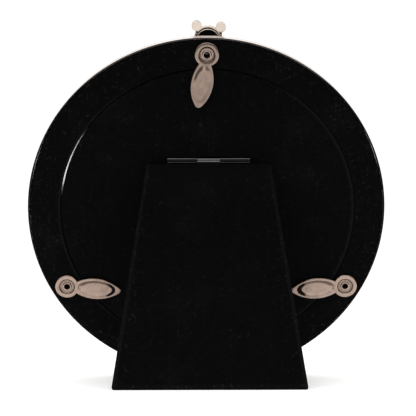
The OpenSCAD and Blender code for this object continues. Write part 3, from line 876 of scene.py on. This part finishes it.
def makeRingVelvet():
    bm = bmesh.new()
    opening = (doorHigh.x - doorLow.x) / 2 + cover["doorGap"]
    addCircle(bm, ringHigh.x, cover["steps"])
    addCircle(bm, opening, cover["steps"], cover["openingShift"])
    for joint in ("turn_top", "turn_left", "turn_right"):
        pivot = pivotOf(joint)
        addCircle(bm, cover["eyeletHole"] / 2, 24, pivot.x, pivot.y)
    thicken(bm, cover["thickness"], cover["edgeRound"], lambda place: place.length > opening - 1)
    wall = drawSection((ringHigh.x, cover["thickness"]), [
        (ringHigh.x, ringHigh.z), (ringHigh.x - cover["wrap"], ringHigh.z),
        (ringHigh.x - cover["wrap"], cover["thickness"] - cover["wrapOverlap"]),
        (ringHigh.x, cover["thickness"] - cover["wrapOverlap"]), (ringHigh.x, cover["thickness"]),
    ])
    addTo(bm, turnSection(wall, cover["steps"]))
    newPiece("ringVelvet", bm, flat, "frame", "backVelvet", ["ring_velvet"])


def makeDoorVelvet():
    bm = bmesh.new()
    middle = (doorHigh.x + doorLow.x) / 2
    radius = (doorHigh.x - doorLow.x) / 2 + cover["doorGrow"]
    addCircle(bm, radius, cover["steps"], middle)
    slotWidth, slotHeight = cover["hingeSlot"]
    slot = Matrix.Translation((legHinge.x, legHinge.y, 0))
    slot = slot @ Matrix.Diagonal((slotWidth, slotHeight, 1, 1))
    bmesh.ops.create_grid(bm, x_segments=1, y_segments=1, size=0.5, matrix=slot)
    bmesh.ops.delete(bm, geom=bm.faces[:], context="FACES_ONLY")
    thicken(bm, cover["thickness"], cover["edgeRound"], lambda place: True)
    newPiece("doorVelvet", bm, flat, "frame", "doorVelvet", ["door_velvet"])


makeRingVelvet()
makeDoorVelvet()
print("back covered")

# Velvet leg
legLow, legHigh = flatBox("leg_velvet", worldToLeg)
leg = {
    "topWidth": 49,
    "topGap": 1.7,
    "bevel": 1.7,
    "cornerRound": 1.5,
    "edgeRound": 0.7,
    "footRound": 1.1,
    "footCuts": (14, 28, 42, 56, 70, 84),  # degrees of the planes that round a foot corner
    "past": 8,  # drawn longer by this, then cut level with the floor
}
legDown = (worldToLeg.to_3x3() @ Vector((0, 0, -1))).normalized()


def roundFoot(bm):  # rounds the two corners that stand on the floor, straight through
    lowest = max(vertex.co.dot(legDown) for vertex in bm.verts)
    widest = max(vertex.co.x for vertex in bm.verts)
    radius = leg["footRound"]
    for side in (-1, 1):
        middle = legDown * (lowest - radius) + Vector((side * (widest - 1.15 * radius), 0, 0))
        for degrees in leg["footCuts"]:
            angle = math.radians(degrees)
            outward = legDown * math.cos(angle) + Vector((side * math.sin(angle), 0, 0))
            cutAway(bm, middle + outward * radius, outward)
    bmesh.ops.recalc_face_normals(bm, faces=bm.faces)


def makeLegVelvet():
    footLow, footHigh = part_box("leg_velvet")
    halfFoot = (footHigh.x - footLow.x) / 2 / metresPerMm
    halfTop = leg["topWidth"] / 2
    top = -leg["topGap"]
    inner, outer = legHigh.z, legLow.z
    foot = legLow.y
    flare = (halfFoot - halfTop) / (top - foot)
    halfEnd, end = halfFoot + leg["past"] * flare, foot - leg["past"]
    bm = bmesh.new()
    corners = [(-halfTop, top), (halfTop, top), (halfEnd, end), (-halfEnd, end)]
    outline = [bm.verts.new((x, y, inner)) for x, y in corners]
    bm.faces.new(outline)
    bevelBy(bm, outline[:2], leg["cornerRound"], 6, "VERTICES")
    for vertex in extrudeFaces(bm, outer - inner):
        if vertex.co.y > top - 2 * leg["cornerRound"]:
            vertex.co.y -= leg["bevel"]
    bmesh.ops.recalc_face_normals(bm, faces=bm.faces)
    edges = [
        edge for edge in bm.edges
        if all(abs(vertex.co.z - outer) < 1e-4 for vertex in edge.verts)
    ]
    bevelBy(bm, edges, leg["edgeRound"], 5)
    cutAway(bm, worldToLeg.translation, legDown)
    roundFoot(bm)
    newPiece("legVelvet", bm, openLeg, "leg", "legVelvet", ["leg_velvet"], 50)


def makeLegSheet(name, node, finish):  # a packed sheet, its foot rounded like the velvet's
    bm = bmesh.new()
    bm.from_mesh(frame["nodes"][node].data)
    bmesh.ops.transform(bm, matrix=worldToLeg, verts=bm.verts)
    bmesh.ops.remove_doubles(bm, verts=bm.verts, dist=1e-3)
    bmesh.ops.dissolve_limit(bm, angle_limit=math.radians(1), verts=bm.verts[:], edges=bm.edges[:])
    roundFoot(bm)
    newPiece(name, bm, openLeg, "leg", finish, [node])


makeLegVelvet()
makeLegSheet("legBoard", "leg_board", "blackBoard")
makeLegSheet("legLining", "leg_lining", "blackPaper")
print("leg made")


# A turn button's leaf is outlined by two long arcs from the neck, joined by a small round tip
def leafOutline(bm, height):
    start, end = button["leafStart"], button["leafEnd"]
    halfWidth, tip = button["halfWidth"], button["tipRadius"]
    middle, half = (start + end) / 2, (end - start) / 2
    radius = (half ** 2 + halfWidth ** 2) / (2 * halfWidth)
    offset = radius - halfWidth
    reach = math.acos(offset / (radius - tip))
    vertex = bm.verts.new((start, 0, height))
    arcs = [
        ((middle, -offset), math.asin(half / radius) + reach, button["arcSteps"]),
        ((middle + offset * math.tan(reach), 0), math.pi - 2 * reach, 12),
        ((middle, offset), math.asin(half / radius) + reach, button["arcSteps"]),
    ]
    for (x, y), angle, steps in arcs:
        arc = bmesh.ops.spin(
            bm, geom=[vertex], cent=(x, y, height), axis=(0, 0, -1), angle=angle, steps=steps,
        )
        vertex = arc["geom_last"][0]
    bmesh.ops.remove_doubles(bm, verts=bm.verts, dist=0.02)
    return bm.edges[:]


def growRing(bm, edges, move):  # a new ring of faces, its far side placed by a rule
    grown = bmesh.ops.extrude_edge_only(bm, edges=edges)["geom"]
    for part in grown:
        if isinstance(part, bmesh.types.BMVert):
            part.co = move(part.co)
    return [part for part in grown if isinstance(part, bmesh.types.BMEdge)]


def makeLeaf(bm, tipDepth):
    front, back = button["front"], button["back"]
    middle = (button["leafStart"] + button["leafEnd"]) / 2
    dishMiddle, dishHalf, dishHalfWidth = button["dish"]

    def closer(inset, height):  # the outline drawn in by a share of its size
        along = 1 - inset / (button["leafEnd"] - middle)
        across = 1 - inset / button["halfWidth"]
        return lambda place: Vector((middle + (place.x - middle) * along, place.y * across, height))

    def intoDish(inset, depth):  # an oval line in the dish, deeper towards the tip
        half, halfWidth = dishHalf - inset, dishHalfWidth - button["dishTaper"] * inset

        def move(place):
            angle = math.atan2(place.y / dishHalfWidth, (place.x - dishMiddle) / dishHalf)
            along = (1 + math.cos(angle)) / 2
            deepest = button["dishNeck"] + (tipDepth - button["dishNeck"]) * along ** 2
            return Vector((
                dishMiddle + half * math.cos(angle), halfWidth * math.sin(angle),
                front + deepest * depth,
            ))
        return move

    outline = leafOutline(bm, back - 0.3)
    growRing(bm, outline, closer(0.3, back))
    edges = outline
    for inset, drop in button["edgeRings"]:
        edges = growRing(bm, edges, closer(inset, front + drop))
    for inset, depth in button["dishRings"]:
        edges = growRing(bm, edges, intoDish(inset, depth))
    closeHoles(bm)
    cutAway(bm, (button["neckCut"], 0, 0), (-1, 0, 0))
    bmesh.ops.recalc_face_normals(bm, faces=bm.faces)


def makeHead():
    front, back = button["front"], button["back"]
    outer, dimple, floor = button["headRadius"], button["dimple"], button["dimpleFloor"]
    ringInner, ringOuter, ringTop = button["dimpleRing"]
    bm = drawSection((outer - 0.15, back), [
        (outer, back - 0.3), (outer, front + 0.35), (outer - 0.06, front + 0.18),
        (outer - 0.2, front + 0.05), (outer - 0.4, front), (dimple + 0.35, front),
        (dimple + 0.15, front + 0.06), (dimple, front + 0.25), (dimple - 0.05, floor),
        (ringOuter, floor), (ringOuter, ringTop + 0.05), (ringOuter - 0.05, ringTop),
        (ringInner + 0.05, ringTop), (ringInner, ringTop + 0.05), (ringInner, floor),
        (button["hole"], floor), (button["hole"], back),
        (outer - 0.15, back),
    ])
    turnSection(bm, 72)
    # Deep in the dimple the head takes the brown-black metal: painted shade
    markFaces(bm, 1, lambda middle: middle.xy.length < dimple - 0.01 and (
        middle.z > ringTop + 0.1
        or middle.xy.length > ringOuter + 0.01 and middle.z > front + 0.26
    ))
    return bm


def makeButton(side):
    bm = bmesh.new()
    makeLeaf(bm, button["dishTip"][side])
    addTo(bm, makeHead())
    name = "turnButton" + side.capitalize()
    newPiece(
        name, bm, buttonPlace(side), "button_" + side, side + "Nickel tarnish",
        ["turn_button_" + side], 60,
    )


for side in restAngles:
    makeButton(side)

eyelet = {
    "bore": 1.15,
    "barrel": 1.5,
    "head": 1.95,
    "headTop": -1.2,
    "headUnder": -0.8,
    "rollFront": 3.2,
}


def makeEyelet(side):
    e = eyelet
    crest = (e["bore"] + e["head"]) / 2
    bm = drawSection((e["bore"], e["rollFront"]), [
        (e["bore"], e["headTop"] + 0.22), (e["bore"] + 0.1, e["headTop"] + 0.07),
        (crest - 0.08, e["headTop"]), (crest + 0.08, e["headTop"] + 0.01),
        (e["head"] - 0.12, e["headTop"] + 0.14), (e["head"], e["headTop"] + 0.3),
        (e["head"] - 0.06, e["headUnder"]), (e["barrel"], e["headUnder"]),
        (e["barrel"], e["rollFront"] - 0.4), (e["head"], e["rollFront"] - 0.4),
        (e["head"], e["rollFront"] - 0.1), (e["head"] - 0.15, e["rollFront"]),
        (e["bore"], e["rollFront"]),
    ])
    turnSection(bm, 48)
    # Inside the bore and round the head's edge: brown-black metal, painted shade
    markFaces(bm, 1, lambda middle: (
        middle.xy.length < e["bore"] + 0.01 and middle.z > e["headTop"] + 0.25
        or middle.xy.length > e["head"] - 0.08 and middle.z < 0
    ))
    place = flat @ Matrix.Translation(pivotOf("turn_" + side))
    name = "eyelet" + side.capitalize()
    newPiece(name, bm, place, "frame", "nickel tarnish", ["eyelet_" + side])


for side in restAngles:
    makeEyelet(side)
print("turn buttons made")

# Finial: a hollow round cup with a cut stone, between two small cups on short posts
cupLow, cupHigh = flatBox("jewel_cup")
jewelLow, jewelHigh = flatBox("jewel")
finial = {
    "cupRadius": (cupHigh.x - cupLow.x) / 2,
    "claws": 8,
    "clawSize": (0.45, 0.32, 0.3),
    "wall": 0.4,
    "tubeStart": 0.25,
    "flangeRadius": 5.5,
    "flangeStart": 1.5,
    "flangeEnd": 2.7,
    "ledge": 0.6,
    "girdleSink": 0.5,
    "table": 0.6,
    "foot": 0.75,
    "smallWall": 0.3,
    "smallSeat": 0.8,
    "postDiameter": 0.9,
    "postInside": 69.6,
    "postBead": -2.75,  # from the small cup's middle
    "beadRadius": 0.52,
}
cupPlace = flat @ Matrix.Translation((
    (cupLow.x + cupHigh.x) / 2, cupHigh.y - finial["cupRadius"], 0,
))


def makeJewelCup():
    f = finial
    radius = f["cupRadius"]
    back, front = cupLow.z, cupHigh.z
    inner = radius - f["wall"]
    seat = jewelLow.z
    bm = drawSection((inner, back + 0.2), [
        (inner + 0.2, back), (radius - 0.1, back), (radius - 0.02, back + 0.1),
        (radius - 0.02, back + f["tubeStart"]),
        (radius - 0.06, back + f["tubeStart"]), (radius - 0.06, back + f["flangeStart"]),
        (f["flangeRadius"] - 0.08, back + f["flangeStart"]),
        (f["flangeRadius"], back + f["flangeStart"] + 0.08),
        (f["flangeRadius"], back + f["flangeEnd"] - 0.15),
        (f["flangeRadius"] - 0.15, back + f["flangeEnd"]),
        (radius + 0.05, back + f["flangeEnd"] + 0.1),
        (radius - 0.05, front - 0.25), (radius - 0.15, front - 0.05), (radius - 0.25, front),
        (inner + 0.05, front), (inner, front - 0.15), (inner, seat), (0.01, seat),
        (0.01, seat - f["ledge"]), (inner, seat - f["ledge"]), (inner, back + 0.2),
    ])
    turnSection(bm, 96)
    for number in range(f["claws"]):  # small claws over the stone's edge
        claw = Matrix.Rotation(math.tau * (number + 0.5) / f["claws"], 4, "Z")
        claw = claw @ Matrix.Translation((inner - 0.1, 0, front + 0.02))
        claw = claw @ Matrix.Diagonal((*f["clawSize"], 1))
        bmesh.ops.create_uvsphere(bm, u_segments=12, v_segments=8, radius=1, matrix=claw)
    # Inside the cup and in its groove: brown-black metal, painted shade
    markFaces(bm, 1, lambda middle: (
        middle.z < seat and middle.xy.length < inner + 0.19
        or f["tubeStart"] < middle.z - back < f["flangeStart"] and middle.xy.length > inner + 0.1
    ))
    newPiece("jewelCup", bm, cupPlace, "frame", "finialSilver tarnish", ["jewel_cup"])


# A round cut stone: table, upper break, girdle and flat foot, each a ring of corners
def makeStone(name, node, radius, low, girdle, high, place):
    rings = [
        (8, 0, finial["table"] * radius, high),
        (8, 22.5, 0.83 * radius, girdle + 0.62 * (high - girdle)),
        (16, 0, radius, girdle + 0.05),
        (16, 0, radius, girdle - 0.05),
        (8, 22.5, finial["foot"] * radius, low),
    ]
    bm = bmesh.new()
    for count, turn, ringRadius, height in rings:
        ring = Matrix.Translation((0, 0, height)) @ Matrix.Rotation(math.radians(turn), 4, "Z")
        bmesh.ops.create_circle(bm, radius=ringRadius, segments=count, matrix=ring)
    bmesh.ops.convex_hull(bm, input=bm.verts[:])
    bmesh.ops.dissolve_limit(bm, angle_limit=math.radians(0.5), verts=bm.verts[:], edges=bm.edges[:])
    bmesh.ops.recalc_face_normals(bm, faces=bm.faces)
    newPiece(name, bm, place, "frame", "crystal", [node], 1)


def makeSideCup(side):
    low, high = flatBox("side_stone_" + side)
    middleX, middleY = (low.x + high.x) / 2, (low.y + high.y) / 2
    place = Matrix.Translation((middleX, middleY, 0))
    stoneRadius = (high.x - low.x) / 2
    radius = stoneRadius + finial["smallWall"]
    back = flatBox("side_cup_" + side)[0].z
    seat = low.z
    front = seat + finial["smallSeat"]
    bm = drawSection((0.01, back), [
        (radius - 0.06, back), (radius, back + 0.06), (radius, front - 0.15),
        (radius - 0.1, front), (stoneRadius, front), (stoneRadius, seat), (0.01, seat), (0.01, back),
    ])
    turnSection(bm, 64)
    end = math.sqrt(finial["postInside"] ** 2 - middleX ** 2) - middleY
    postRadius = finial["postDiameter"] / 2
    post = Matrix.Translation((0, (end - 1) / 2, back + postRadius))
    post = post @ Matrix.Rotation(math.radians(90), 4, "X")
    made = bmesh.ops.create_cone(
        bm, cap_ends=True, segments=24, radius1=postRadius, radius2=postRadius,
        depth=-end - 1, matrix=post,
    )
    for vertex in made["verts"]:
        for face in vertex.link_faces:
            face.material_index = 1
    bead = Matrix.Translation((0, finial["postBead"], back + postRadius))
    bmesh.ops.create_uvsphere(
        bm, u_segments=20, v_segments=12, radius=finial["beadRadius"], matrix=bead,
    )
    name = "sideCup" + side.capitalize()
    newPiece(name, bm, flat @ place, "frame", "finialSilver tarnish", ["side_cup_" + side])
    stoneName = "sideStone" + side.capitalize()
    makeStone(stoneName, "side_stone_" + side, stoneRadius, seat, front, high.z, flat @ place)


makeJewelCup()
makeStone(
    "jewelStone", "jewel", finial["cupRadius"] - finial["wall"], jewelLow.z,
    cupHigh.z - finial["girdleSink"], jewelHigh.z, cupPlace,
)
for side in ("left", "right"):
    makeSideCup(side)
print("finial made")


# Floor, backdrop and light. The metal reflects a room that is pale overhead and on the
# picture's side and dim at the horizon, while the camera sees a white backdrop.
stage = {
    "floorRadius": 0.25,
    "floorGlow": 0.3,
    "overhead": 1.25,
    "overheadFrom": (0.15, 0.55),
    "horizon": 0.1,
    "inFront": 1.0,
    "inFrontFrom": (-0.35, -0.9),
    "backdrop": 1.1,
    "lightPlace": (0.3, 0.5, 1.0),
    "lightAim": (0, 0, 0.07),
    "lightSize": 0.8,
    "lightPower": 1.5,
}


def makeFloor():
    finish = Finish("paleFloor", {
        "Base Color": shade(0.9, 0.9, 0.895), "Roughness": 0.9, "Specular IOR Level": 0.1,
        "Emission Color": shade(1, 1, 0.99), "Emission Strength": stage["floorGlow"],
    })
    bm = bmesh.new()
    bmesh.ops.create_circle(bm, cap_ends=True, radius=stage["floorRadius"], segments=96)
    mesh = bpy.data.meshes.new("floor")
    bm.to_mesh(mesh)
    bm.free()
    mesh.materials.append(finish.material)
    floor = bpy.data.objects.new("floor", mesh)
    scene.collection.objects.link(floor)


def makeRoom():
    world = bpy.data.worlds.new("studio")
    scene.world = world
    world.use_nodes = True
    world.node_tree.nodes.clear()
    room = Nodes(world.node_tree)
    across, along, height = room.split(room.node("TexCoord", outlet="Generated"))
    above = room.fade(height, *stage["overheadFrom"], stage["horizon"], stage["overhead"])
    front = room.fade(along, *stage["inFrontFrom"], stage["horizon"], stage["inFront"])
    glow = room.node("Math", {"operation": "MAXIMUM"}, {0: above, 1: front})
    white = shade(1, 1, 1)
    sky = room.node("Background", {}, {"Color": white, "Strength": glow})
    backdrop = room.node("Background", {}, {"Color": white, "Strength": stage["backdrop"]})
    seen = room.node("LightPath", outlet="Is Camera Ray")
    both = room.node("MixShader", {}, {0: seen, 1: sky, 2: backdrop})
    output = world.node_tree.nodes.new("ShaderNodeOutputWorld")
    world.node_tree.links.new(both.socket, output.inputs[0])


def makeLight():
    data = bpy.data.lights.new("key", "AREA")
    data.size = stage["lightSize"]
    data.energy = stage["lightPower"]
    light = bpy.data.objects.new("key", data)
    light.location = stage["lightPlace"]
    toAim = Vector(stage["lightAim"]) - Vector(stage["lightPlace"])
    light.rotation_euler = toAim.to_track_quat("-Z", "Y").to_euler()
    scene.collection.objects.link(light)


makeFloor()
makeRoom()
makeLight()
scene.view_settings.view_transform = "Standard"
print("stage set")
